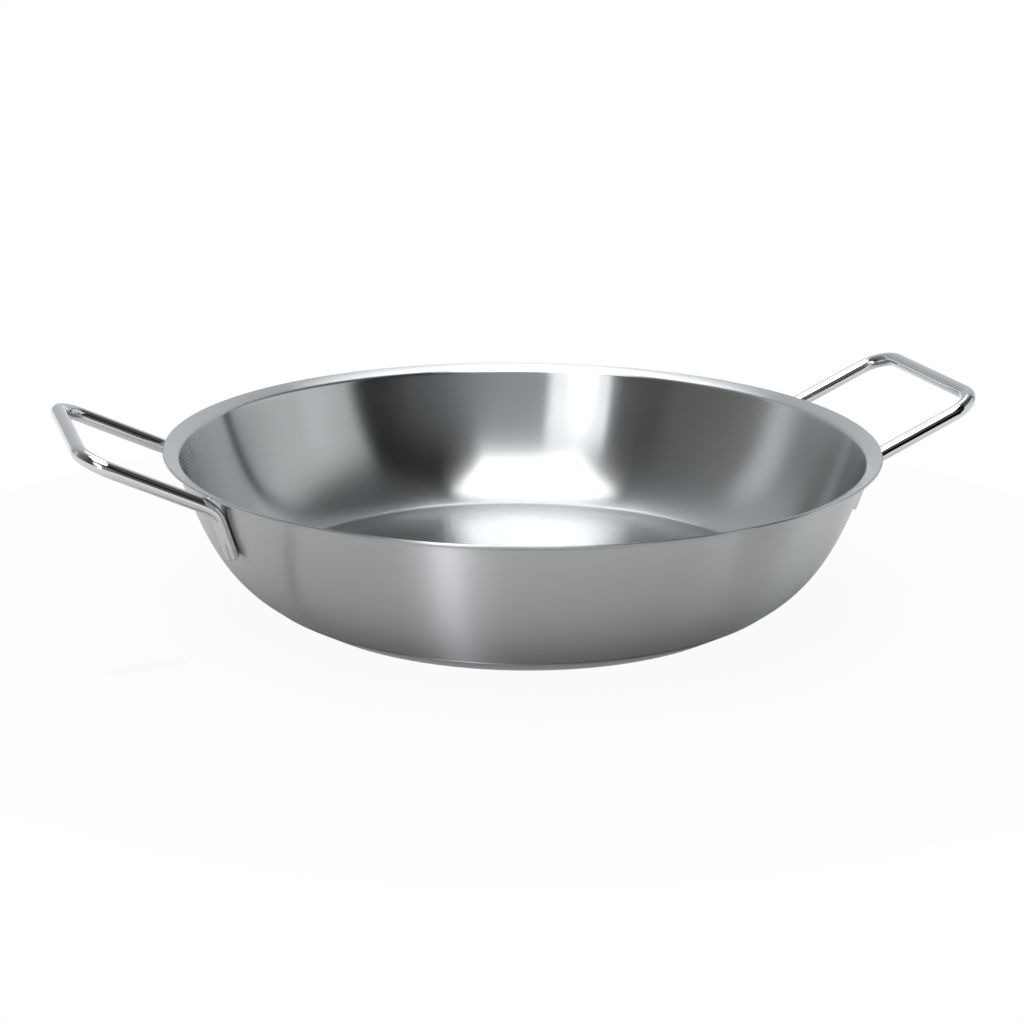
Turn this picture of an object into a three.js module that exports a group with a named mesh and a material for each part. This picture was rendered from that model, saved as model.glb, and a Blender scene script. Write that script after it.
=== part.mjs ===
// A low round cooking and serving pan of stainless steel: a drawn bowl with a flared pouring
// rim, an encapsulated base (aluminium disc in a steel capsule) and two loop handles bent from
// round rod. The rod's ends are pressed to flats and resistance-welded to the bowl's wall.
//
// Millimetres, +Z up. The origin is the centre of the base's underside, and the handles lie
// along X: the left one on -X, the right one on +X.

import * as THREE from "three";

// ---------------------------------------------------------------- driving dimensions

const RIM_RADIUS = 146.5; // lip, outermost
const RIM_HEIGHT = 65; // top of the lip above the table
const SHEET = 1.0; // bowl sheet

const FLARE_WIDTH = 6.2; // lip to the corner where the wall begins
const FLARE_ANGLE = 22; // degrees above horizontal
const FLARE_BEND = 2.4; // radius of the corner, on the upper face

const WALL_TOP_ANGLE = 74; // wall's slope just under the flare, degrees above horizontal
const WALL_FOOT_ANGLE = 30; // and just above the capsule's edge
const WALL_TOP_PULL = 21; // how far each end keeps its direction before the wall curves
const WALL_FOOT_PULL = 21;

const SEAM_RADIUS = 108.4; // where the capsule's edge meets the wall
const FLOOR_BEND = 8; // radius between wall and floor, on the underside

const CORE_THICKNESS = 4.8; // aluminium disc
const CAPSULE_SHEET = 0.8;
const CAPSULE_LIP = 0.3; // the capsule's edge is ground thin where it meets the wall
const CAPSULE_SIDE_ANGLE = 29; // degrees above horizontal
const CAPSULE_BEND = 2; // radius between its side and its underside

const ROD = 6; // handle rod diameter
const GRIP_REACH = 184.1; // grip's centreline from the pan's centre
const ARM_SPACING = 88.8; // between the centrelines of a handle's two arms
const ARM_ANGLE = 25; // arms rise outwards, degrees above horizontal
const GRIP_BEND = 13; // centreline radius at the grip's corners
const LEG_BEND = 12; // centreline radius where an arm turns down the wall
const LEG_END_HEIGHT = 38.5; // lower end of the legs
const LEG_WIDTH = 7; // the rod's ends are pressed to flats, this wide overall
const LEG_THICKNESS = 4.4; // and this thick
const LEG_FLAT = 17; // length that is fully pressed, from the leg's end
const PRESS_RUN = 12; // length over which round changes to pressed

const JOINT_GAP = 0.3; // between any two pieces that meet

// ---------------------------------------------------------------- fineness of the mesh

const TURN_STEPS = 64;
const BEND_STEPS = 4;
const WALL_STEPS = 10;
const ROD_SIDES = 12;
const ROD_STEP = 2.6; // length of one stretch of rod

// ---------------------------------------------------------------- small helpers

const radians = THREE.MathUtils.degToRad;

// The direction that rises at an angle from horizontal, in a profile's (radius, height) plane.
const along = (angle) => new THREE.Vector2(Math.cos(angle), Math.sin(angle));

// A profile point with the slope of the surface there.
const station = (point, angle) => ({ point, angle });

// Points of a bend that starts at a station and turns to another slope. A positive radius
// has its centre above the profile, a negative one has it below.
function bend(start, toAngle, radius, steps) {
  const side = new THREE.Vector2(-Math.sin(start.angle), Math.cos(start.angle));
  const centre = start.point.clone().addScaledVector(side, radius);
  return Array.from({ length: steps + 1 }, (_, i) => {
    const angle = THREE.MathUtils.lerp(start.angle, toAngle, i / steps);
    const out = new THREE.Vector2(Math.sin(angle), -Math.cos(angle));
    return station(centre.clone().addScaledVector(out, radius), angle);
  });
}

// The same profile moved off itself: up and inwards for a positive distance.
function offset(stations, distance) {
  return stations.map(({ point, angle }) =>
    station(
      point.clone().add(new THREE.Vector2(-Math.sin(angle), Math.cos(angle)).multiplyScalar(distance)),
      angle,
    ),
  );
}

const points = (stations) => stations.map(({ point }) => point);

// Radius of a rising profile at a height.
function radiusAt(profile, height) {
  const upper = profile.findIndex((p) => p.y >= height);
  const a = profile[upper - 1];
  const b = profile[upper];
  return THREE.MathUtils.mapLinear(height, a.y, b.y, a.x, b.x);
}

// A profile turned round the upright axis.
const lathe = (profile) => new THREE.LatheGeometry(profile, TURN_STEPS).rotateX(Math.PI / 2);

// ---------------------------------------------------------------- bowl profile, underside

const FLOOR_UNDERSIDE = CAPSULE_SHEET + CORE_THICKNESS + 2 * JOINT_GAP;
const footAngle = radians(WALL_FOOT_ANGLE);
const topAngle = radians(WALL_TOP_ANGLE);
const flareAngle = radians(FLARE_ANGLE);

// The floor turns up into the wall and reaches the seam.
const floorEdge = SEAM_RADIUS - FLOOR_BEND * Math.sin(footAngle);
const floorBend = bend(
  station(new THREE.Vector2(floorEdge, FLOOR_UNDERSIDE), 0),
  footAngle,
  FLOOR_BEND,
  BEND_STEPS,
);
const seam = floorBend.at(-1);

// The flare's upper face runs from the lip down to the corner over the wall, and the corner
// is rounded. The lower face is one sheet thickness away from it.
const lip = new THREE.Vector2(RIM_RADIUS - SHEET * Math.sin(flareAngle), RIM_HEIGHT);
const corner = lip.clone().addScaledVector(along(flareAngle), -FLARE_WIDTH / Math.cos(flareAngle));
const cornerSetback = FLARE_BEND * Math.tan((topAngle - flareAngle) / 2);
const wallTopInside = station(corner.clone().addScaledVector(along(topAngle), -cornerSetback), topAngle);
const [wallTop] = offset([wallTopInside], -SHEET);
const flareBend = bend(wallTop, flareAngle, SHEET - FLARE_BEND, BEND_STEPS);
const [lipUnderside] = offset([station(lip, flareAngle)], -SHEET);

// The wall leaves the seam at one slope and arrives under the flare at another.
const wallCurve = new THREE.CubicBezierCurve(
  seam.point,
  seam.point.clone().addScaledVector(along(footAngle), WALL_FOOT_PULL),
  wallTop.point.clone().addScaledVector(along(topAngle), -WALL_TOP_PULL),
  wallTop.point,
);
const wall = Array.from({ length: WALL_STEPS - 1 }, (_, i) => {
  const t = (i + 1) / WALL_STEPS;
  return station(wallCurve.getPoint(t), wallCurve.getTangent(t).angle());
});

const underside = [
  station(new THREE.Vector2(0, FLOOR_UNDERSIDE), 0),
  ...floorBend,
  ...wall,
  ...flareBend,
  lipUnderside,
];

// ---------------------------------------------------------------- bowl

function panBody() {
  const outer = points(underside);
  const inner = points(offset(underside, SHEET));
  inner[0].x = 0;
  return lathe([...outer, ...inner.reverse()]);
}

// ---------------------------------------------------------------- base

// The capsule's side runs from its lip, just off the wall at the seam, down to its underside.
const capsuleLip = offset([seam], -JOINT_GAP - CAPSULE_LIP)[0].point;
const capsuleAngle = radians(CAPSULE_SIDE_ANGLE);

// Radius at a height, and height at a radius, of the line at a distance inside that side.
const capsuleRadius = (inside, height) =>
  capsuleLip.x - inside / Math.sin(capsuleAngle) - (capsuleLip.y - height) / Math.tan(capsuleAngle);
const capsuleHeight = (inside, radius) =>
  capsuleLip.y - (capsuleLip.x - inside / Math.sin(capsuleAngle) - radius) * Math.tan(capsuleAngle);

function baseCapsule() {
  const footRadius = capsuleRadius(0, 0) - CAPSULE_BEND * Math.tan(capsuleAngle / 2);
  const foot = station(new THREE.Vector2(footRadius, 0), 0);
  return lathe([
    new THREE.Vector2(0, 0),
    ...points(bend(foot, capsuleAngle, CAPSULE_BEND, BEND_STEPS)),
    capsuleLip,
    ...points(offset(floorBend, -JOINT_GAP)).reverse(),
    new THREE.Vector2(floorEdge, capsuleHeight(CAPSULE_SHEET, floorEdge)),
    new THREE.Vector2(capsuleRadius(CAPSULE_SHEET, CAPSULE_SHEET), CAPSULE_SHEET),
    new THREE.Vector2(0, CAPSULE_SHEET),
  ]);
}

// The disc fills the capsule up to the floor, a gap away from both.
function baseCore() {
  const bottom = CAPSULE_SHEET + JOINT_GAP;
  const top = bottom + CORE_THICKNESS;
  const inside = CAPSULE_SHEET + JOINT_GAP;
  const radius = floorEdge - JOINT_GAP;
  return lathe([
    new THREE.Vector2(0, bottom),
    new THREE.Vector2(capsuleRadius(inside, bottom), bottom),
    new THREE.Vector2(radius, capsuleHeight(inside, radius)),
    new THREE.Vector2(radius, top),
    new THREE.Vector2(0, top),
  ]);
}

// ---------------------------------------------------------------- handles

// All of this is for the rear half of the right handle, whose arm lies in the plane
// y = armSide. The front half is its mirror image.
const armSide = ARM_SPACING / 2;
const armRise = Math.tan(radians(ARM_ANGLE));

// An arm runs out just under the lip. Its height at a distance from the middle plane x = 0:
const lipReach = Math.sqrt(RIM_RADIUS ** 2 - armSide ** 2);
const underLip = lipUnderside.point.y - JOINT_GAP - ROD / 2 / Math.cos(radians(ARM_ANGLE));
const armHeight = (reach) => underLip + armRise * (reach - lipReach);

// A leg is straight and lies along a meridian of the wall. It leans as the wall does between the
// leg's ends, and stands as close as the wall's most bulging point lets it. Its distance from
// the pan's axis at a height:
const legTrack = points(offset(underside, -LEG_THICKNESS / 2 - JOINT_GAP));
const legLean =
  (radiusAt(legTrack, underLip) - radiusAt(legTrack, LEG_END_HEIGHT)) / (underLip - LEG_END_HEIGHT);
const legFoot = Math.max(
  ...legTrack
    .filter((p) => p.y > LEG_END_HEIGHT - LEG_THICKNESS && p.y < underLip)
    .map((p) => p.x - legLean * p.y),
);
const legRadius = (height) => legFoot + legLean * height;

// Arm and leg meet where sqrt(reach^2 + armSide^2) = legRadius(armHeight(reach)), which is a
// quadratic in the reach.
const radiusAtAxis = legRadius(armHeight(0));
const radiusPerReach = legLean * armRise;
const kept = 1 - radiusPerReach ** 2;
const cornerReach =
  (radiusAtAxis * radiusPerReach + Math.sqrt(radiusAtAxis ** 2 - armSide ** 2 * kept)) / kept;
const legAzimuth = Math.atan2(armSide, cornerReach);

const legAcross = new THREE.Vector3(-Math.sin(legAzimuth), Math.cos(legAzimuth), 0);
const legEndRadius = legRadius(LEG_END_HEIGHT);
const legEnd = new THREE.Vector3(
  legEndRadius * Math.cos(legAzimuth),
  legEndRadius * Math.sin(legAzimuth),
  LEG_END_HEIGHT,
);

// A round bend between two straight stretches of a path.
class RoundBend extends THREE.Curve {
  constructor(corner, from, to, radius) {
    super();
    this.from = from;
    this.inward = to.clone().addScaledVector(from, -from.dot(to)).normalize();
    this.turn = from.angleTo(to);
    this.radius = radius;
    const setback = radius * Math.tan(this.turn / 2);
    this.centre = corner.clone().addScaledVector(from, -setback).addScaledVector(this.inward, radius);
  }
  getPoint(t, target = new THREE.Vector3()) {
    return target
      .copy(this.centre)
      .addScaledVector(this.inward, -this.radius * Math.cos(t * this.turn))
      .addScaledVector(this.from, this.radius * Math.sin(t * this.turn));
  }
}

// Path of a rod through corners, bent round each one at its own radius.
function bentPath(corners, radii) {
  const path = new THREE.CurvePath();
  let start = corners[0];
  radii.forEach((radius, i) => {
    const from = corners[i + 1].clone().sub(corners[i]).normalize();
    const to = corners[i + 2].clone().sub(corners[i + 1]).normalize();
    const arc = new RoundBend(corners[i + 1], from, to, radius);
    path.add(new THREE.LineCurve3(start, arc.getPoint(0)));
    path.add(arc);
    start = arc.getPoint(1);
  });
  path.add(new THREE.LineCurve3(start, corners.at(-1)));
  return path;
}

// The bar starts straight and round, along Y, with its middle at y = 0. Its ends are pressed
// between flat jaws, which leaves flats towards the wall and away from it, and then each half
// is bent onto the path, which runs from the middle of the grip to the leg's end.
function handleRod() {
  const path = bentPath(
    [
      new THREE.Vector3(GRIP_REACH, 0, armHeight(GRIP_REACH)),
      new THREE.Vector3(GRIP_REACH, armSide, armHeight(GRIP_REACH)),
      new THREE.Vector3(cornerReach, armSide, armHeight(cornerReach)),
      legEnd,
    ],
    [GRIP_BEND, LEG_BEND],
  );
  const length = path.getLength();
  const steps = Math.round(length / ROD_STEP);
  const bar = new THREE.CylinderGeometry(ROD / 2, ROD / 2, 2 * length, ROD_SIDES, 2 * steps);
  const loopNormal = new THREE.Vector3(-armRise, 0, 1).normalize();
  const { position } = bar.attributes;
  for (let i = 0; i < position.count; i++) {
    const flat = new THREE.Vector3().fromBufferAttribute(position, i);
    const share = Math.min(Math.abs(flat.y) / length, 1);
    const fromEnd = length * (1 - share);
    const pressed = 1 - THREE.MathUtils.smoothstep(fromEnd, LEG_FLAT, LEG_FLAT + PRESS_RUN);
    const halfThickness = THREE.MathUtils.lerp(ROD, LEG_THICKNESS, pressed) / 2;

    const heading = path.getTangentAt(share);
    const across = heading.clone().cross(loopNormal).lerp(legAcross, pressed);
    across.addScaledVector(heading, -across.dot(heading)).normalize();
    const through = across.clone().cross(heading);

    const bent = path
      .getPointAt(share)
      .addScaledVector(across, flat.x * THREE.MathUtils.lerp(1, LEG_WIDTH / ROD, pressed))
      .addScaledVector(through, THREE.MathUtils.clamp(flat.z, -halfThickness, halfThickness));
    position.setXYZ(i, bent.x, flat.y < 0 ? -bent.y : bent.y, bent.z);
  }
  return bar;
}

// ---------------------------------------------------------------- materials and assembly

const satinSteel = { color: 0xb4b6b8, roughness: 0.32 };
const brushedSteel = { color: 0xaeb0b2, roughness: 0.28 };
const polishedSteel = { color: 0xc8cacc, roughness: 0.06 };
const aluminium = { color: 0xc4c6c8, roughness: 0.45 };

function part(name, geometry, look) {
  const mesh = new THREE.Mesh(geometry, new THREE.MeshStandardMaterial({ metalness: 1, ...look }));
  mesh.name = name;
  return mesh;
}

// The left handle is the right one turned half round.
function handle(name, turn) {
  const group = new THREE.Group();
  group.rotation.z = turn;
  group.add(part(name, handleRod(), polishedSteel));
  return group;
}

const pan = new THREE.Group();
pan.add(
  part("pan_body", panBody(), satinSteel),
  part("base_core", baseCore(), aluminium),
  part("base_capsule", baseCapsule(), brushedSteel),
  handle("right_handle", 0),
  handle("left_handle", Math.PI),
);

export default pan;
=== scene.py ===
# %% [markdown]
# # A two-handled steel pan
#
# This file builds the looks of a low, round stainless-steel pan around its CAD model. The pan
# has five pieces: a bowl pressed from one sheet, an aluminium disc, the steel capsule that
# wraps the disc, and two handles bent from round rod. The CAD model is the fixed frame. It
# says where each piece is and how big it is, and Blender adds finer shapes, metal finishes,
# light and a camera.

import math

import bmesh
import bpy
from mathutils import Matrix, Vector
from mathutils.geometry import interpolate_bezier


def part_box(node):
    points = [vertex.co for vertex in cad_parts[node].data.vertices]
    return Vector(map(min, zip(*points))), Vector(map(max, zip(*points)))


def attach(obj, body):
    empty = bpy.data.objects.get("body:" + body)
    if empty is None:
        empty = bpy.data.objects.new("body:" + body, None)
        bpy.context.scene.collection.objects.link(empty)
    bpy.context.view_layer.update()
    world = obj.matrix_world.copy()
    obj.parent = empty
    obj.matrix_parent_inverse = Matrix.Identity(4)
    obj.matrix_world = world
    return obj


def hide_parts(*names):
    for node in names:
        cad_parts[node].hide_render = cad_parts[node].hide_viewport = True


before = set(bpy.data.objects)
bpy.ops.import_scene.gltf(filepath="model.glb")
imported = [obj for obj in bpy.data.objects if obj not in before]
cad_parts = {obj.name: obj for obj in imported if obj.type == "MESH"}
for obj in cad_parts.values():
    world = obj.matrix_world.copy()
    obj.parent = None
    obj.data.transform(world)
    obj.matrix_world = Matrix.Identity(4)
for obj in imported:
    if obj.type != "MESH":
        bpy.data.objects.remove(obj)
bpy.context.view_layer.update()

MM = 0.001

# %% [markdown]
# ## The camera
#
# A camera could be aimed with a Track To constraint, but a product view is easier to repeat
# when it is written down as numbers: the direction round the object, the height above the
# horizon, the distance and the lens. The camera's own axes are then worked out from those,
# with a slight roll, and become the columns of its matrix.

# %% Camera
AIM = Vector((0, 0, 40 * MM))
VIEW_AZIMUTH = math.radians(-17.569)
VIEW_ELEVATION = math.radians(16.039)
VIEW_ROLL = math.radians(0.588)
VIEW_DISTANCE = 961.8 * MM

back = Vector((
    math.sin(VIEW_AZIMUTH) * math.cos(VIEW_ELEVATION),
    -math.cos(VIEW_AZIMUTH) * math.cos(VIEW_ELEVATION),
    math.sin(VIEW_ELEVATION),
))
right = Vector((math.cos(VIEW_AZIMUTH), math.sin(VIEW_AZIMUTH), 0))
up = back.cross(right)
camera_x = right * math.cos(VIEW_ROLL) + up * math.sin(VIEW_ROLL)
camera_y = up * math.cos(VIEW_ROLL) - right * math.sin(VIEW_ROLL)

camera = bpy.data.objects.new("camera", bpy.data.cameras.new("camera"))
camera.data.lens = 81.75
camera.data.sensor_width = 36
camera.data.shift_x = -0.01005
camera.data.shift_y = -0.01258
camera.data.clip_start = 0.05
camera.data.clip_end = 100
camera.matrix_world = Matrix.Translation(AIM + back * VIEW_DISTANCE) @ Matrix(
    (camera_x, camera_y, back)
).transposed().to_4x4()
bpy.context.scene.collection.objects.link(camera)
bpy.context.scene.camera = camera
bpy.context.scene.view_settings.view_transform = "Standard"
print("camera at", [round(v, 3) for v in camera.location])

# %% [markdown]
# ## Small helpers
#
# Every material below is a node tree, so one function adds a node, sets its options and
# fills its inputs with a value or with another node's output. Colours are written as the hex
# values that a colour picker shows, and one function turns them into linear light.

# %% Nodes and colours
def add_node(tree, kind, inputs=None, **options):
    node = tree.nodes.new(kind)
    for option, value in options.items():
        setattr(node, option, value)
    for socket, value in (inputs or {}).items():
        if isinstance(value, bpy.types.NodeSocket):
            tree.links.new(value, node.inputs[socket])
        else:
            node.inputs[socket].default_value = value
    return node


def linear(hex_colour):
    channels = [int(hex_colour[i : i + 2], 16) / 255 for i in (1, 3, 5)]
    return (*(c / 12.92 if c <= 0.04045 else ((c + 0.055) / 1.055) ** 2.4 for c in channels), 1)


def new_material(name):
    material = bpy.data.materials.new(name)
    material.use_nodes = True
    material.node_tree.nodes.clear()
    return material, material.node_tree


# %% [markdown]
# A finished mesh becomes an object that sits at the origin. It rides on the pan's one body, stands
# in for its CAD node, which is hidden, and takes the material that it is given. Faces are shaded
# smooth, and edges that turn by more than a set angle stay crisp.

# %% From a bmesh to a finished piece
CRISP_ANGLE = math.radians(35)


def finish_piece(bm, name, node, material):
    for face in bm.faces:
        face.smooth = True
    for edge in bm.edges:
        edge.smooth = len(edge.link_faces) == 2 and edge.calc_face_angle(0) < CRISP_ANGLE
    mesh = bpy.data.meshes.new(name)
    bm.to_mesh(mesh)
    bm.free()
    mesh.materials.append(material)
    piece = bpy.data.objects.new(name, mesh)
    bpy.context.scene.collection.objects.link(piece)
    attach(piece, "root")
    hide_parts(node)
    triangles = sum(len(polygon.vertices) - 2 for polygon in mesh.polygons)
    print(f"{name}: {triangles} triangles")


# %% [markdown]
# ## Satin steel, brushed round the bowl
#
# The bowl is austenitic stainless steel. It was spun on its axis against an abrasive belt,
# which leaves fine scratches that run round it. A picture of the scratches could be wrapped
# round the bowl, but it would have a seam. Here a noise is squeezed along the section and
# stretched round it, so it has none. A second, broad noise stands for patches where the belt
# pressed harder.

# %% The belt's scratches
SCRATCH_SPACING = 0.45 * MM  # the real ones are near 0.1 mm, which is too fine to show
SCRATCH_TURN = 0.35  # radians that a scratch runs round the bowl
PATCH_SCALE = 14  # noise cells in a metre, so a patch is about 70 mm wide
PATCH_SHARE = 0.3


def belt_scratches(tree, place, from_axis):
    radius = add_node(
        tree, "ShaderNodeVectorMath", {0: from_axis}, operation="LENGTH"
    ).outputs["Value"]
    height = add_node(tree, "ShaderNodeSeparateXYZ", {0: place}).outputs["Z"]
    along = add_node(tree, "ShaderNodeMath", {0: radius, 1: height}, operation="ADD").outputs[0]
    across_lines = add_node(
        tree, "ShaderNodeMath", {0: along, 1: 1 / SCRATCH_SPACING}, operation="MULTIPLY"
    ).outputs[0]
    heading = add_node(tree, "ShaderNodeVectorMath", {0: from_axis}, operation="NORMALIZE")
    heading = add_node(tree, "ShaderNodeSeparateXYZ", {0: heading.outputs["Vector"]})
    round_x, round_y = (
        add_node(
            tree,
            "ShaderNodeMath",
            {0: heading.outputs[axis], 1: 1 / SCRATCH_TURN},
            operation="MULTIPLY",
        ).outputs[0]
        for axis in ("X", "Y")
    )
    lines_at = add_node(tree, "ShaderNodeCombineXYZ", {0: across_lines, 1: round_x, 2: round_y})
    return add_node(
        tree,
        "ShaderNodeTexNoise",
        {"Vector": lines_at.outputs[0], "Scale": 1, "Detail": 3, "Roughness": 0.6},
    ).outputs["Fac"]


def pressed_patches(tree, place, lines):
    """The lines, mixed with broad patches."""
    patches = add_node(
        tree, "ShaderNodeTexNoise", {"Vector": place, "Scale": PATCH_SCALE, "Detail": 2}
    ).outputs["Fac"]
    return add_node(
        tree, "ShaderNodeMix", {"Factor": PATCH_SHARE, 2: lines, 3: patches}, data_type="FLOAT"
    ).outputs[0]


print("scratches", round(SCRATCH_SPACING / MM, 2), "mm apart")

# %% [markdown]
# The inside is polished finer than the outside, which is handled more. One material serves
# both, and the way that a face looks tells them apart: an outer face looks away from the
# bowl's axis.

# %% Inside or outside
def faces_outward(tree, from_axis):
    facing = add_node(tree, "ShaderNodeTexCoord").outputs["Normal"]
    outward = add_node(
        tree, "ShaderNodeVectorMath", {0: facing, 1: from_axis}, operation="DOT_PRODUCT"
    ).outputs["Value"]
    return add_node(
        tree, "ShaderNodeMath", {0: outward, 1: 0}, operation="GREATER_THAN"
    ).outputs[0]


# %% [markdown]
# A belted surface is sharp along its scratches and blurred across them, so a lamp becomes a
# streak up the wall. In Blender that is a metallic Principled shader with Anisotropic, a
# Tangent node that turns round Z, and a quarter turn that lays the streaks across the
# scratches. The scratches change the roughness and the colour a little and add a shallow
# bump.

# %% Satin steel
SCRATCH_DEPTH = 0.004 * MM
SCRATCH_CHANGE = 0.07  # share by which a scratch changes the roughness
SCRATCH_DARKEST = 0.96  # of the steel's colour
QUARTER_TURN = 0.25


def satin_steel(name, colour, inside_roughness, outside_roughness, anisotropy, scratch_share):
    material, tree = new_material(name)
    place = add_node(tree, "ShaderNodeTexCoord").outputs["Object"]
    from_axis = add_node(
        tree, "ShaderNodeVectorMath", {0: place, 1: (1, 1, 0)}, operation="MULTIPLY"
    ).outputs["Vector"]
    lines = belt_scratches(tree, place, from_axis)
    base = add_node(
        tree,
        "ShaderNodeMix",
        {"Factor": faces_outward(tree, from_axis), 2: inside_roughness, 3: outside_roughness},
        data_type="FLOAT",
    ).outputs[0]
    change = add_node(
        tree,
        "ShaderNodeMapRange",
        {
            "Value": pressed_patches(tree, place, lines),
            "From Min": 0.3,
            "From Max": 0.7,
            "To Min": 1 - SCRATCH_CHANGE,
            "To Max": 1 + SCRATCH_CHANGE,
        },
    ).outputs[0]
    roughness = add_node(
        tree, "ShaderNodeMath", {0: base, 1: change}, operation="MULTIPLY"
    ).outputs[0]
    bright = linear(colour)
    dark = (*(channel * SCRATCH_DARKEST for channel in bright[:3]), 1)
    tint = add_node(
        tree, "ShaderNodeMix", {"Factor": lines, 6: bright, 7: dark}, data_type="RGBA"
    ).outputs[2]
    bump = add_node(
        tree,
        "ShaderNodeBump",
        {"Height": lines, "Distance": SCRATCH_DEPTH, "Strength": scratch_share},
    ).outputs[0]
    tangent = add_node(
        tree, "ShaderNodeTangent", direction_type="RADIAL", axis="Z"
    ).outputs[0]
    shader = add_node(
        tree,
        "ShaderNodeBsdfPrincipled",
        {
            "Base Color": tint,
            "Metallic": 1,
            "Roughness": roughness,
            "Anisotropic": anisotropy,
            "Anisotropic Rotation": QUARTER_TURN,
            "Tangent": tangent,
            "Normal": bump,
        },
    )
    add_node(tree, "ShaderNodeOutputMaterial", {"Surface": shader.outputs[0]})
    return material


bowl_steel = satin_steel(
    "satin_steel_bowl",
    "#C5C7C8",
    inside_roughness=0.2,
    outside_roughness=0.38,
    anisotropy=1.0,
    scratch_share=0.05,
)
capsule_steel = satin_steel(
    "satin_steel_capsule",
    "#BFC0C1",
    inside_roughness=0.4,
    outside_roughness=0.4,
    anisotropy=0.6,
    scratch_share=0.1,
)
print("made satin steel for the bowl and the capsule")

# %% [markdown]
# ## The bowl
#
# The real bowl is one disc of 1 mm sheet, drawn into a die. Its section is a flat floor, a
# bend, a wall that gets steeper as it rises, a tight corner and a flared pouring rim. The
# section could be a curve with a Screw modifier. Here a bmesh draws it, so that the capsule
# and the handles can take their places from the same lines. The overall sizes come from the
# CAD node's box, and the smaller ones are set here.

# %% Sizes of the bowl
RIM_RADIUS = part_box("pan_body")[1].x
RIM_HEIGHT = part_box("pan_body")[1].z
FLOOR_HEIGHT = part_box("pan_body")[0].z
SHEET = 1.0 * MM
FLARE_WIDTH = 6.2 * MM
FLARE_ANGLE = math.radians(22)
FLARE_BEND = 2.4 * MM
WALL_TOP_ANGLE = math.radians(74)
WALL_FOOT_ANGLE = math.radians(30)
WALL_PULL = 21 * MM
SEAM_RADIUS = 108.4 * MM
FLOOR_BEND = 8 * MM
WALL_POINTS = 40
BEND_STEPS = 10
TURN_STEPS = 256
SAME_PLACE = 0.0001 * MM

print("rim", round(2 * RIM_RADIUS / MM, 1), "mm across and", round(RIM_HEIGHT / MM, 1), "mm high")

# %% [markdown]
# A section is drawn with a pen, which is the last vertex of a line. A straight stretch adds
# one vertex and one edge. A bend spins the pen about the centre of the bend. When the line is
# done, a full spin turns it round Z.

# %% Drawing a section with bmesh
def towards(angle):
    """The direction that rises at an angle from +X, in the XZ plane."""
    return Vector((math.cos(angle), 0, math.sin(angle)))


def to_the_left(angle):
    return Vector((-math.sin(angle), 0, math.cos(angle)))


def line_to(bm, vertex, point):
    new = bm.verts.new(point)
    bm.edges.new((vertex, new))
    return new


def bend_to(bm, vertex, angle, new_angle, radius, steps):
    """Turns the line from one slope to another. A negative radius has its centre on the right."""
    made = bmesh.ops.spin(
        bm,
        geom=[vertex],
        cent=vertex.co + to_the_left(angle) * radius,
        axis=(0, -1, 0),
        angle=new_angle - angle,
        steps=steps,
        use_merge=False,
    )
    return next(item for item in made["geom_last"] if isinstance(item, bmesh.types.BMVert))


def turn_round(bm):
    bmesh.ops.remove_doubles(bm, verts=bm.verts, dist=SAME_PLACE)
    bmesh.ops.spin(
        bm,
        geom=bm.verts[:] + bm.edges[:],
        cent=(0, 0, 0),
        axis=(0, 0, 1),
        angle=2 * math.pi,
        steps=TURN_STEPS,
        use_merge=True,
    )
    bmesh.ops.remove_doubles(bm, verts=bm.verts, dist=SAME_PLACE)


# %% [markdown]
# The wall of the section is a Bezier curve from the seam at the capsule's edge to the corner
# under the flare. Each end keeps its own slope for a while, and the curve joins them. That is
# how a drawn wall looks, and it needs only the two slopes and one length.

# %% The bowl's section
lip = Vector((RIM_RADIUS - SHEET * math.sin(FLARE_ANGLE), 0, RIM_HEIGHT))
wall_corner = lip - towards(FLARE_ANGLE) * FLARE_WIDTH / math.cos(FLARE_ANGLE)
setback = FLARE_BEND * math.tan((WALL_TOP_ANGLE - FLARE_ANGLE) / 2)
wall_top = (
    wall_corner - towards(WALL_TOP_ANGLE) * setback - to_the_left(WALL_TOP_ANGLE) * SHEET
)
floor_edge = Vector((SEAM_RADIUS - FLOOR_BEND * math.sin(WALL_FOOT_ANGLE), 0, FLOOR_HEIGHT))
seam = floor_edge + to_the_left(0) * FLOOR_BEND - to_the_left(WALL_FOOT_ANGLE) * FLOOR_BEND
wall_line = interpolate_bezier(
    seam,
    seam + towards(WALL_FOOT_ANGLE) * WALL_PULL,
    wall_top - towards(WALL_TOP_ANGLE) * WALL_PULL,
    wall_top,
    WALL_POINTS,
)
print("wall", round((wall_top.z - seam.z) / MM, 1), "mm high above the seam")


def draw_bowl():
    bm = bmesh.new()
    pen = bm.verts.new((0, 0, FLOOR_HEIGHT))
    pen = line_to(bm, pen, floor_edge)
    pen = bend_to(bm, pen, 0, WALL_FOOT_ANGLE, FLOOR_BEND, BEND_STEPS)
    for point in wall_line[1:]:
        pen = line_to(bm, pen, point)
    pen = bend_to(bm, pen, WALL_TOP_ANGLE, FLARE_ANGLE, SHEET - FLARE_BEND, BEND_STEPS)
    line_to(bm, pen, lip - to_the_left(FLARE_ANGLE) * SHEET)
    turn_round(bm)
    bmesh.ops.recalc_face_normals(bm, faces=bm.faces)
    return bm


# %% [markdown]
# Solidify gives the sheet its thickness, towards the inside, because the line that was drawn
# is the outer face. The sheet's cut edge is ground round at the lip, so that it doesn't cut a
# hand. That small round catches a bright line of light all round the rim, which a sharp edge
# would not, so the two edges of the cut are bevelled.

# %% Thickness and the ground lip
LIP_ROUND = 0.3 * MM
ROUND_STEPS = 3


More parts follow.
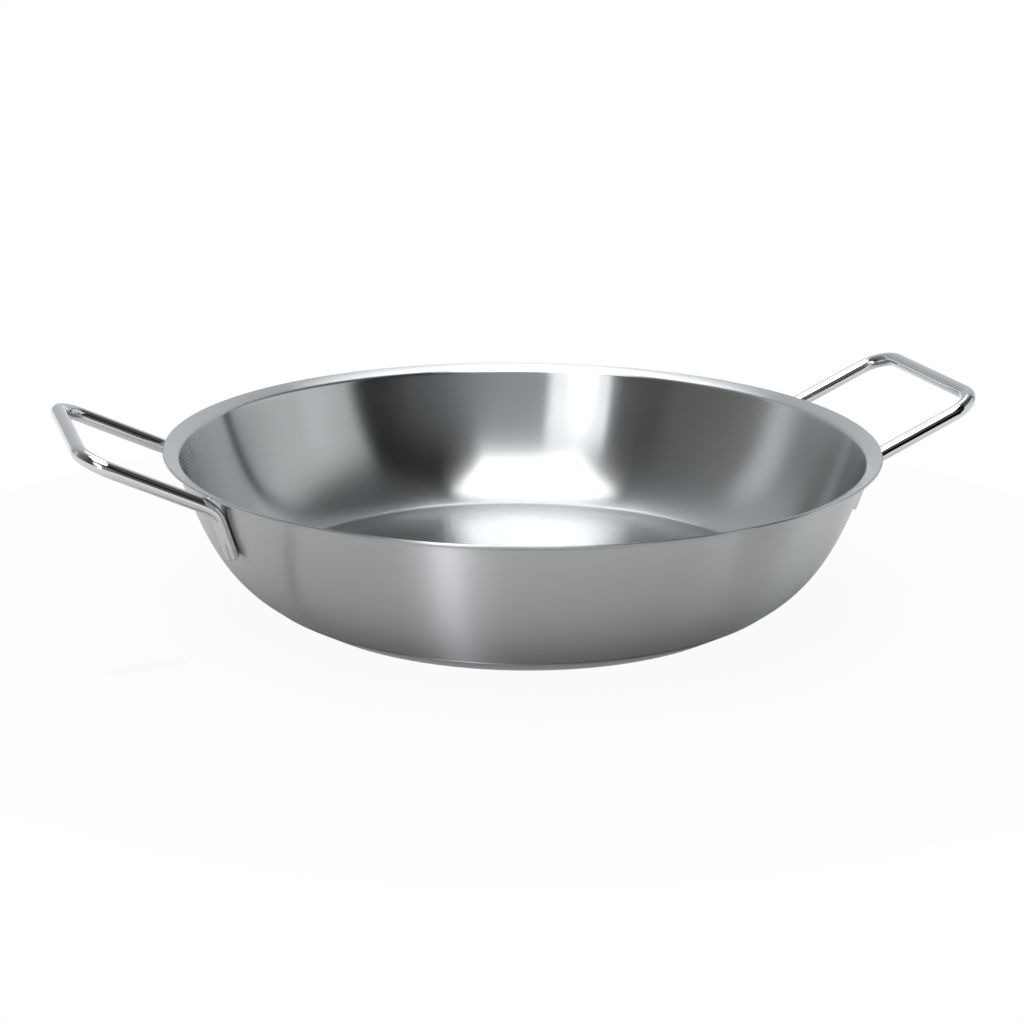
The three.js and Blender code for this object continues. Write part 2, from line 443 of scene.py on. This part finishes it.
def round_edges(bm, edges, width):
    bmesh.ops.bevel(
        bm,
        geom=edges,
        offset=width,
        segments=ROUND_STEPS,
        profile=0.5,
        affect="EDGES",
        material=-1,
        clamp_overlap=True,
    )


bm = draw_bowl()
bmesh.ops.solidify(bm, geom=bm.faces[:], thickness=-SHEET)
bmesh.ops.recalc_face_normals(bm, faces=bm.faces)
cut_edges = [
    edge
    for edge in bm.edges
    if edge.calc_face_angle(0) > CRISP_ANGLE
    and min(v.co.xy.length for v in edge.verts) > wall_corner.x + SHEET
]
round_edges(bm, cut_edges, LIP_ROUND)
heights = [v.co.z / MM for v in bm.verts]
print("bowl from", round(min(heights), 2), "to", round(max(heights), 2), "mm high")
finish_piece(bm, "bowl", "pan_body", bowl_steel)

# %% [markdown]
# ## The base
#
# The aluminium disc carries the heat, and a steel capsule is pressed round it and bonded to
# the bowl. The disc is hidden for good, so its CAD node stays and only gets a finish. The
# capsule shows as a slanting band with a ground lip, and as the face that the pan stands on.
# It is drawn the way the bowl is, as half a section that is spun round Z, but the line goes
# out along the foot and back along the inside, so it needs no solidify.

# %% The capsule's section
CAPSULE_SHEET = 0.8 * MM
CAPSULE_LIP = 0.3 * MM
CAPSULE_SIDE = math.radians(29)
CAPSULE_BEND = 2 * MM
CAPSULE_STEPS = 8
SEAM_GAP = 0.08 * MM  # the bond line that shows between the capsule's lip and the wall


def draw_capsule():
    lip_point = seam - to_the_left(WALL_FOOT_ANGLE) * (SEAM_GAP + CAPSULE_LIP)
    foot_radius = lip_point.x - lip_point.z / math.tan(CAPSULE_SIDE)
    foot_radius -= CAPSULE_BEND * math.tan(CAPSULE_SIDE / 2)
    inner_shift = CAPSULE_SHEET / math.sin(CAPSULE_SIDE)
    inner_foot = lip_point.x - inner_shift - (lip_point.z - CAPSULE_SHEET) / math.tan(CAPSULE_SIDE)
    inner_edge = lip_point.z - (lip_point.x - inner_shift - floor_edge.x) * math.tan(CAPSULE_SIDE)

    bm = bmesh.new()
    pen = bm.verts.new((0, 0, 0))
    pen = line_to(bm, pen, (foot_radius, 0, 0))
    pen = bend_to(bm, pen, 0, CAPSULE_SIDE, CAPSULE_BEND, CAPSULE_STEPS)
    pen = line_to(bm, pen, lip_point)
    pen = line_to(bm, pen, seam - to_the_left(WALL_FOOT_ANGLE) * SEAM_GAP)
    pen = bend_to(bm, pen, WALL_FOOT_ANGLE, 0, FLOOR_BEND + SEAM_GAP, CAPSULE_STEPS)
    pen = line_to(bm, pen, (floor_edge.x, 0, inner_edge))
    pen = line_to(bm, pen, (inner_foot, 0, CAPSULE_SHEET))
    line_to(bm, pen, (0, 0, CAPSULE_SHEET))
    turn_round(bm)
    bmesh.ops.recalc_face_normals(bm, faces=bm.faces)
    return bm


bm = draw_capsule()
widths = [v.co.xy.length / MM for v in bm.verts]
print("capsule", round(2 * max(widths), 1), "mm across")
finish_piece(bm, "base_capsule_shell", "base_capsule", capsule_steel)

# %% [markdown]
# ## Rolled aluminium
#
# The disc is plain rolled aluminium, left as it came from the mill. It is duller and a
# little warmer than the steel, with a faint grain along the way that it was rolled.

# %% The disc's finish
GRAIN_WIDTH = 1.2 * MM
GRAIN_LENGTH = 24 * MM

aluminium, tree = new_material("rolled_aluminium")
place = add_node(tree, "ShaderNodeTexCoord").outputs["Object"]
stretched = add_node(
    tree,
    "ShaderNodeMapping",
    {"Vector": place, "Scale": (1 / GRAIN_LENGTH, 1 / GRAIN_WIDTH, 1)},
).outputs[0]
grain = add_node(tree, "ShaderNodeTexNoise", {"Vector": stretched, "Scale": 1, "Detail": 3})
rough = add_node(
    tree, "ShaderNodeMapRange", {"Value": grain.outputs["Fac"], "To Min": 0.38, "To Max": 0.52}
)
shader = add_node(
    tree,
    "ShaderNodeBsdfPrincipled",
    {"Base Color": linear("#CDCCCA"), "Metallic": 1, "Roughness": rough.outputs[0]},
)
add_node(tree, "ShaderNodeOutputMaterial", {"Surface": shader.outputs[0]})
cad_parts["base_core"].data.materials.clear()
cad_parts["base_core"].data.materials.append(aluminium)
print("the disc has", aluminium.name)

# %% [markdown]
# ## Polished steel for the handles
#
# The rod was polished on a buffing wheel, so it is nearly a mirror. A perfect mirror looks
# drawn rather than made, so a faint noise leaves some places a little less polished, and
# the same noise bends the reflections very slightly.

# %% Polished steel
BUFFED_PATCH = 9 * MM
BEST_ROUGHNESS = 0.05
WORST_ROUGHNESS = 0.10
WAVE_DEPTH = 0.01 * MM

polished_steel, tree = new_material("polished_steel")
place = add_node(tree, "ShaderNodeTexCoord").outputs["Object"]
patches = add_node(
    tree, "ShaderNodeTexNoise", {"Vector": place, "Scale": 1 / BUFFED_PATCH, "Detail": 3}
).outputs["Fac"]
rough = add_node(
    tree,
    "ShaderNodeMapRange",
    {
        "Value": patches,
        "From Min": 0.3,
        "From Max": 0.7,
        "To Min": BEST_ROUGHNESS,
        "To Max": WORST_ROUGHNESS,
    },
).outputs[0]
waves = add_node(
    tree, "ShaderNodeBump", {"Height": patches, "Distance": WAVE_DEPTH, "Strength": 0.3}
).outputs[0]
shader = add_node(
    tree,
    "ShaderNodeBsdfPrincipled",
    {
        "Base Color": linear("#D0D1D2"),
        "Metallic": 1,
        "Roughness": rough,
        "Normal": waves,
    },
)
add_node(tree, "ShaderNodeOutputMaterial", {"Surface": shader.outputs[0]})
print("made", polished_steel.name)

# %% [markdown]
# ## The handles
#
# Each handle is 6 mm round rod. Its ends are pressed between flat jaws, so that they lie
# snugly on the wall for the resistance weld, and the rod is bent down over them under the rim
# and round two corners at the grip. A curve with a bevel would make the rod, but not the
# pressed ends. So the centre line is walked as points and directions, and a circle is
# extruded from one point to the next and squeezed where the jaws pressed.

# %% Sizes of a handle
ROD = 6 * MM
GRIP_REACH = 184.1 * MM
ARM_SIDE = 44.4 * MM
ARM_ANGLE = math.radians(25)
GRIP_BEND = 13 * MM
LEG_BEND = 12 * MM
LEG_END_HEIGHT = 38.5 * MM
LEG_WIDTH = 7 * MM
LEG_THICKNESS = 4.4 * MM
LEG_FLAT = 17 * MM
PRESS_RUN = 12 * MM
ROD_SIDES = 32
ROD_STEP = 0.8 * MM
CUT_ROUND = 0.4 * MM
SAME_MIDDLE = 0.001 * MM
FIT_GAP = 0.3 * MM  # between the rod and the bowl

arm_rise = math.tan(ARM_ANGLE)
lip_reach = math.sqrt(RIM_RADIUS**2 - ARM_SIDE**2)
lip_underside = lip - to_the_left(FLARE_ANGLE) * SHEET
under_lip = lip_underside.z - FIT_GAP - ROD / 2 / math.cos(ARM_ANGLE)


def arm_height(reach):
    return under_lip + arm_rise * (reach - lip_reach)


print("grip", round(arm_height(GRIP_REACH) / MM, 1), "mm high at its middle")

# %% [markdown]
# A leg is straight and lies on the wall along one of its meridians. Its slope is the wall's
# slope between the leg's two ends, and it is moved out until it clears the wall everywhere.
# Where it meets the arm follows from both lines.

# %% Where a leg lies
leg_wall = [point for point in wall_line if point.z > LEG_END_HEIGHT]
leg_lean = (leg_wall[-1].x - leg_wall[0].x) / (leg_wall[-1].z - leg_wall[0].z)
leg_foot = max(point.x - leg_lean * point.z for point in leg_wall)
leg_foot += (LEG_THICKNESS / 2 + FIT_GAP) / math.cos(math.atan(leg_lean))

radius_at_axis = leg_foot + leg_lean * arm_height(0)
radius_per_reach = leg_lean * arm_rise
kept = 1 - radius_per_reach**2
corner_reach = (
    radius_at_axis * radius_per_reach + math.sqrt(radius_at_axis**2 - ARM_SIDE**2 * kept)
) / kept
leg_azimuth = math.atan2(ARM_SIDE, corner_reach)
leg_end_radius = leg_foot + leg_lean * LEG_END_HEIGHT
print("legs lean", round(math.degrees(math.atan(leg_lean)), 1), "degrees outwards")


# %% [markdown]
# The rod's centre line runs from the middle of the grip along an arm and down a leg. A real
# bender turns the rod round a roller, so each corner is an arc that touches both straight
# stretches. The line is kept as stations, which are places with a direction.

# %% The rod's centre line
def walk(corners, bends):
    """Points and directions along straight lines with a round bend at each inner corner."""
    stations = []
    start = corners[0]
    for before, corner, after, radius in zip(corners, corners[1:], corners[2:], bends):
        into = (corner - before).normalized()
        out = (after - corner).normalized()
        turn = into.angle(out)
        hinge = into.cross(out).normalized()
        enter = corner - into * radius * math.tan(turn / 2)
        centre = enter + hinge.cross(into) * radius
        steps = math.ceil((enter - start).length / ROD_STEP)
        stations += [(start.lerp(enter, i / steps), into) for i in range(steps)]
        steps = math.ceil(radius * turn / ROD_STEP)
        for i in range(steps):
            swing = Matrix.Rotation(turn * i / steps, 3, hinge)
            stations.append((centre + swing @ (enter - centre), swing @ into))
        start = centre + Matrix.Rotation(turn, 3, hinge) @ (enter - centre)
    out = (corners[-1] - start).normalized()
    steps = math.ceil((corners[-1] - start).length / ROD_STEP)
    return stations + [(start.lerp(corners[-1], i / steps), out) for i in range(steps + 1)]


# %% [markdown]
# At each station the last ring of edges is extruded, and the new ring is laid across the
# line. Towards the end of the leg it is squeezed: the jaws make it thinner and wider, with a
# flat towards the wall and a low crown on the other side. Half a loop is drawn, and mirror
# makes the other half.

# %% Extruding the rod along it
def smooth_share(value, low, high):
    share = min(max((value - low) / (high - low), 0), 1)
    return share * share * (3 - 2 * share)


def draw_rod():
    grip = Vector((GRIP_REACH, 0, arm_height(GRIP_REACH)))
    stations = walk(
        [
            grip,
            grip + Vector((0, ARM_SIDE, 0)),
            Vector((corner_reach, ARM_SIDE, arm_height(corner_reach))),
            Vector((
                leg_end_radius * math.cos(leg_azimuth),
                leg_end_radius * math.sin(leg_azimuth),
                LEG_END_HEIGHT,
            )),
        ],
        [GRIP_BEND, LEG_BEND],
    )
    places = [place for place, _ in stations]
    lengths = [(b - a).length for a, b in zip(places, places[1:])]
    loop_up = Vector((-arm_rise, 0, 1)).normalized()
    leg_across = Vector((-math.sin(leg_azimuth), math.cos(leg_azimuth), 0))

    bm = bmesh.new()
    circle = bmesh.ops.create_circle(bm, segments=ROD_SIDES, radius=ROD / 2)["verts"]
    outline = [v.co.copy() for v in circle]
    ring = circle
    for i, (place, heading) in enumerate(stations):
        from_end = sum(lengths[i:])
        pressed = 1 - smooth_share(from_end, LEG_FLAT, LEG_FLAT + PRESS_RUN)
        half = (ROD + (LEG_THICKNESS - ROD) * pressed) / 2
        widen = 1 + (LEG_WIDTH / ROD - 1) * pressed
        across = heading.cross(loop_up).lerp(leg_across, pressed)
        across = (across - heading * across.dot(heading)).normalized()
        through = across.cross(heading)
        if i:
            edges = [e for e in bm.edges if e.verts[0] in ring and e.verts[1] in ring]
            made = bmesh.ops.extrude_edge_only(bm, edges=edges)["geom"]
            new = [v for v in made if isinstance(v, bmesh.types.BMVert)]
            partner = {}
            for v in new:
                old = next(e.other_vert(v) for e in v.link_edges if e.other_vert(v) in ring)
                partner[old] = v
            ring = [partner[v] for v in ring]
        for v, flat in zip(ring, outline):
            depth = min(flat.y, half) if flat.y > 0 else flat.y * half / (ROD / 2)
            v.co = place + across * flat.x * widen + through * depth
    end_face = bmesh.ops.contextual_create(bm, geom=ring)["faces"]
    round_edges(bm, list(end_face[0].edges), CUT_ROUND)
    half_loop = bm.verts[:] + bm.edges[:] + bm.faces[:]
    bmesh.ops.mirror(bm, geom=half_loop, axis="Y", merge_dist=SAME_MIDDLE)
    bmesh.ops.remove_doubles(bm, verts=bm.verts, dist=SAME_MIDDLE)
    bmesh.ops.recalc_face_normals(bm, faces=bm.faces)
    return bm


# %% [markdown]
# The left handle is the same rod turned half round. It could share one mesh with the right
# handle, but then its object would be turned. It gets a mesh of its own, turned in the bmesh,
# so that its object can stay unturned at the origin.

# %% Two handles
for side, turn in (("right", 0), ("left", math.pi)):
    bm = draw_rod()
    bmesh.ops.rotate(
        bm, verts=bm.verts, cent=(0, 0, 0), matrix=Matrix.Rotation(turn, 3, "Z")
    )
    reach = max(abs(v.co.x) for v in bm.verts)
    print(side, "handle reaches", round(reach / MM, 1), "mm from the middle")
    finish_piece(bm, f"{side}_handle_rod", f"{side}_handle", polished_steel)

# %% [markdown]
# ## The studio
#
# Bare metal has hardly any colour of its own, so its look is a picture of the room. A lamp
# with a size is what a soft box is: its reflection has an edge, and its shadow has none. One
# hangs over the pan and lights the floor of the bowl, and one leans in from behind. A small
# one stands low in front, for the bright band up the outside, and a tall one stands beside
# the camera. Places in the studio are given as the camera sees them.

# %% Soft boxes
def soft_box(name, centre, heading, tilt, width, height, radiance, colour="#FFFFFF"):
    """A lamp that shines straight down at no tilt, and level along its heading at 90 degrees."""
    lamp = bpy.data.lights.new(name, "AREA")
    lamp.shape = "RECTANGLE"
    lamp.size = width
    lamp.size_y = height
    lamp.energy = radiance * math.pi * width * height
    lamp.color = linear(colour)[:3]
    box = bpy.data.objects.new(name, lamp)
    turned = Matrix.Rotation(VIEW_AZIMUTH + math.radians(heading), 4, "Z")
    turned @= Matrix.Rotation(math.radians(tilt), 4, "X")
    box.matrix_world = Matrix.Translation(centre) @ turned
    box.visible_camera = False
    bpy.context.scene.collection.objects.link(box)


def studio(right_of_pan, behind_pan, height):
    """A place in the studio, by how far it is right of and behind the pan as the camera sees it."""
    deep = Vector((-back.x, -back.y, 0)).normalized()
    return right * right_of_pan + deep * behind_pan + Vector((0, 0, height))


soft_box(
    "overhead_box",
    studio(-0.08, -0.38, 1.5),
    heading=0,
    tilt=0,
    width=0.9,
    height=1.05,
    radiance=4.8,
)
soft_box(
    "back_box",
    studio(-0.05, 1.1, 1.55),
    heading=180,
    tilt=35,
    width=0.75,
    height=0.6,
    radiance=2.5,
)
soft_box(
    "low_box",
    studio(-0.76, -1.85, 0.22),
    heading=-22,
    tilt=90,
    width=0.3,
    height=0.4,
    radiance=12,
    colour="#FDF6FF",
)
soft_box(
    "beside_camera_box",
    studio(-0.75, -1.85, 1.0),
    heading=-22,
    tilt=64,
    width=0.85,
    height=1.1,
    radiance=1.7,
)
print("four soft boxes")

# %% [markdown]
# Polished rod looks bright all over in a pale room, and its roundness is lost. A product
# studio sets small pieces of black velvet beside it, out of the picture, and the rod mirrors
# them as dark lines. One card stands beside the right handle and one strip lies on the paper
# by the left handle's leg. A darker wall could do the same, but it would darken the bowl too.

# %% Black velvet beside the handles
velvet, tree = new_material("black_velvet")
pile = add_node(tree, "ShaderNodeBsdfDiffuse", {"Color": linear("#141414")})
add_node(tree, "ShaderNodeOutputMaterial", {"Surface": pile.outputs[0]})


def velvet_card(name, centre, width, height, tilt, heading):
    """A rectangle that lies flat at no tilt and stands up at 90 degrees."""
    turned = Matrix.Rotation(VIEW_AZIMUTH + math.radians(heading), 3, "Z")
    turned @= Matrix.Rotation(math.radians(tilt), 3, "X")
    bm = bmesh.new()
    bmesh.ops.create_grid(bm, x_segments=1, y_segments=1, size=0.5)
    bmesh.ops.scale(bm, vec=(width, height, 1), verts=bm.verts)
    bmesh.ops.rotate(bm, verts=bm.verts, matrix=turned)
    bmesh.ops.translate(bm, verts=bm.verts, vec=centre)
    mesh = bpy.data.meshes.new(name)
    bm.to_mesh(mesh)
    bm.free()
    mesh.materials.append(velvet)
    card = bpy.data.objects.new(name, mesh)
    bpy.context.scene.collection.objects.link(card)
    card.visible_camera = False


velvet_card(
    "black_card", studio(0.272, -0.115, 0.094), width=0.14, height=0.12, tilt=90, heading=40
)
velvet_card(
    "black_strip", studio(-0.141, -0.096, 0.001), width=0.03, height=0.009, tilt=0, heading=29
)
print("a black card and a black strip")

# %% [markdown]
# Grey walls and dark curtains stand round the studio, and the steel mirrors them as the broad
# bands up the inside of the bowl. They could be built as real panels. Here they are painted
# in the world, by direction, which is simpler to adjust. The direction is turned so that it
# starts from the camera's side of the room, and its bearing round the room picks a colour.

# %% The bearing round the room
world = bpy.data.worlds.new("studio")
bpy.context.scene.world = world
world.use_nodes = True
tree = world.node_tree
tree.nodes.clear()
looking = add_node(tree, "ShaderNodeTexCoord").outputs["Generated"]
turned = add_node(
    tree,
    "ShaderNodeVectorRotate",
    {"Vector": looking, "Axis": (0, 0, 1), "Angle": -VIEW_AZIMUTH},
    rotation_type="AXIS_ANGLE",
).outputs[0]
parts = add_node(tree, "ShaderNodeSeparateXYZ", {0: turned})
towards_camera = add_node(
    tree, "ShaderNodeMath", {0: parts.outputs["Y"], 1: -1}, operation="MULTIPLY"
).outputs[0]
bearing = add_node(
    tree, "ShaderNodeMath", {0: parts.outputs["X"], 1: towards_camera}, operation="ARCTAN2"
).outputs[0]
round_share = add_node(
    tree,
    "ShaderNodeMapRange",
    {"Value": bearing, "From Min": -math.pi, "From Max": math.pi},
).outputs[0]
print("the world has a bearing")

# %% [markdown]
# The curtains reach higher than the grey walls, so there is one list of colours low down and
# one high up. Each stop is a bearing in degrees, to the right of the camera's side, and the
# colour there. Two stops close together make a sharp edge, such as a curtain's. Between the
# two heights one list fades into the other.

# %% Walls and curtains
LOW_TO = math.radians(27)
HIGH_FROM = math.radians(42)
LOW_WALLS = [
    (-180, "#DADDE0"),
    (-150, "#C8CBCE"),
    (-118, "#B1B4B7"),
    (-109, "#DEE1E5"),
    (-103, "#DEE1E5"),
    (-96, "#91918B"),
    (-60, "#6B6B66"),
    (-52, "#474743"),
    (-37, "#5A5A56"),
    (-34, "#9DA0A3"),
    (-3, "#939699"),
    (21, "#86898C"),
    (33, "#6C6E70"),
    (47, "#4E5051"),
    (54, "#262625"),
    (64, "#141414"),
    (67, "#E3E8E8"),
    (84, "#F4FAF9"),
    (110, "#E3E8E8"),
    (122, "#DADDE0"),
    (123, "#141414"),
    (127, "#141414"),
    (128, "#D4D7DA"),
    (180, "#DADDE0"),
]
HIGH_WALLS = [
    (-180, "#D4D7DA"),
    (-140, "#C8CBCE"),
    (-100, "#898C8E"),
    (-45, "#505051"),
    (-34, "#7C7F81"),
    (5, "#6C6E70"),
    (25, "#3A3B3C"),
    (40, "#1A1A1A"),
    (63, "#1A1A1A"),
    (76, "#5A5C5E"),
    (116, "#5A5C5E"),
    (123, "#2C2C2C"),
    (127, "#2C2C2C"),
    (150, "#C8CBCE"),
    (180, "#D4D7DA"),
]


def round_the_room(stops):
    node = add_node(tree, "ShaderNodeValToRGB", {"Fac": round_share})
    for degrees, _ in stops[1:-1]:
        node.color_ramp.elements.new(0.5 + degrees / 360)
    for element, (degrees, colour) in zip(node.color_ramp.elements, stops):
        element.position = 0.5 + degrees / 360
        element.color = linear(colour)
    return node.outputs["Color"]


height_share = add_node(
    tree,
    "ShaderNodeMapRange",
    {"Value": parts.outputs["Z"], "From Min": math.sin(LOW_TO), "From Max": math.sin(HIGH_FROM)},
    interpolation_type="SMOOTHSTEP",
).outputs[0]
walls = add_node(
    tree,
    "ShaderNodeMix",
    {"Factor": height_share, 6: round_the_room(LOW_WALLS), 7: round_the_room(HIGH_WALLS)},
    data_type="RGBA",
).outputs[2]
print("walls and curtains:", len(LOW_WALLS) + len(HIGH_WALLS), "stops round the room")

# %% [markdown]
# A product stands in front of plain white, whatever the room is like. So rays that come
# straight from the camera see white, and all others see the room.

# %% White behind the pan
room = add_node(tree, "ShaderNodeBackground", {"Color": walls, "Strength": 1})
plain = add_node(tree, "ShaderNodeBackground", {"Color": (1, 1, 1, 1), "Strength": 1})
seen = add_node(tree, "ShaderNodeLightPath").outputs["Is Camera Ray"]
both = add_node(
    tree, "ShaderNodeMixShader", {0: seen, 1: room.outputs[0], 2: plain.outputs[0]}
)
add_node(tree, "ShaderNodeOutputWorld", {"Surface": both.outputs[0]})
print("the world is", world.name)

# %% [markdown]
# ## The floor
#
# A paper sweep under the pan is white and matt. A large plane could be lit until it is white, but
# the lamps that do it would also bleach the steel. So the paper glows by itself, as over-lit paper
# seems to do. It glows wherever the camera looks at it. For the steel that mirrors it, it glows
# from some way out, and near the pan it stays matt, so that the pan's shadow keeps the lower wall
# dark. Under the pan's foot, in the pan's shade, a faint glow is painted on the paper: painted
# light that stands in for the light that creeps in below the capsule.

# %% How much the paper glows
GLOW_FROM = 120 * MM  # distances from the middle of the pan
FULL_GLOW_FROM = 300 * MM
# painted light under the pan's foot: how strong it is and where it fades out
EDGE_GLOW = 0.3
EDGE_GLOW_TO = 100 * MM
NO_EDGE_GLOW_FROM = 106 * MM
PAPER_OVERLIT = 0.95
PAPER_WHITENESS = 0.68

paper, tree = new_material("white_paper")
place = add_node(tree, "ShaderNodeTexCoord").outputs["Object"]
distance = add_node(tree, "ShaderNodeVectorMath", {0: place}, operation="LENGTH").outputs["Value"]
far_share = add_node(
    tree,
    "ShaderNodeMapRange",
    {"Value": distance, "From Min": GLOW_FROM, "From Max": FULL_GLOW_FROM},
    interpolation_type="SMOOTHSTEP",
).outputs[0]
seen = add_node(tree, "ShaderNodeLightPath").outputs["Is Camera Ray"]
seen_share = add_node(
    tree, "ShaderNodeMath", {0: seen, 1: PAPER_OVERLIT}, operation="MULTIPLY"
).outputs[0]
# painted light: a faint glow on the paper under the pan's foot, where the pan's shade falls
foot_painted_light = add_node(
    tree,
    "ShaderNodeMapRange",
    {
        "Value": distance,
        "From Min": EDGE_GLOW_TO,
        "From Max": NO_EDGE_GLOW_FROM,
        "To Min": EDGE_GLOW,
        "To Max": 0,
    },
    interpolation_type="SMOOTHSTEP",
).outputs[0]
glow_share = add_node(
    tree, "ShaderNodeMath", {0: far_share, 1: seen_share}, operation="MAXIMUM"
).outputs[0]
glow_share = add_node(
    tree, "ShaderNodeMath", {0: glow_share, 1: foot_painted_light}, operation="MAXIMUM"
).outputs[0]
matt = add_node(tree, "ShaderNodeBsdfDiffuse", {"Color": (*[PAPER_WHITENESS] * 3, 1)})
glow = add_node(tree, "ShaderNodeEmission", {"Color": (1, 1, 1, 1), "Strength": 1})
both = add_node(
    tree, "ShaderNodeMixShader", {0: glow_share, 1: matt.outputs[0], 2: glow.outputs[0]}
)
add_node(tree, "ShaderNodeOutputMaterial", {"Surface": both.outputs[0]})
print("made", paper.name)

# %% [markdown]
# A studio's sweep is a roll of paper that curves up behind the product, so that no edge shows.
# Here the world behind the pan is already plain white. So one flat square is enough, if its
# edges are far away.

# %% Floor
FLOOR_SIZE = 12  # metres from the pan to an edge of the paper

bm = bmesh.new()
bmesh.ops.create_grid(bm, x_segments=1, y_segments=1, size=FLOOR_SIZE)
mesh = bpy.data.meshes.new("floor")
bm.to_mesh(mesh)
bm.free()
mesh.materials.append(paper)
floor = bpy.data.objects.new("floor", mesh)
bpy.context.scene.collection.objects.link(floor)
print("floor", 2 * FLOOR_SIZE, "m wide")
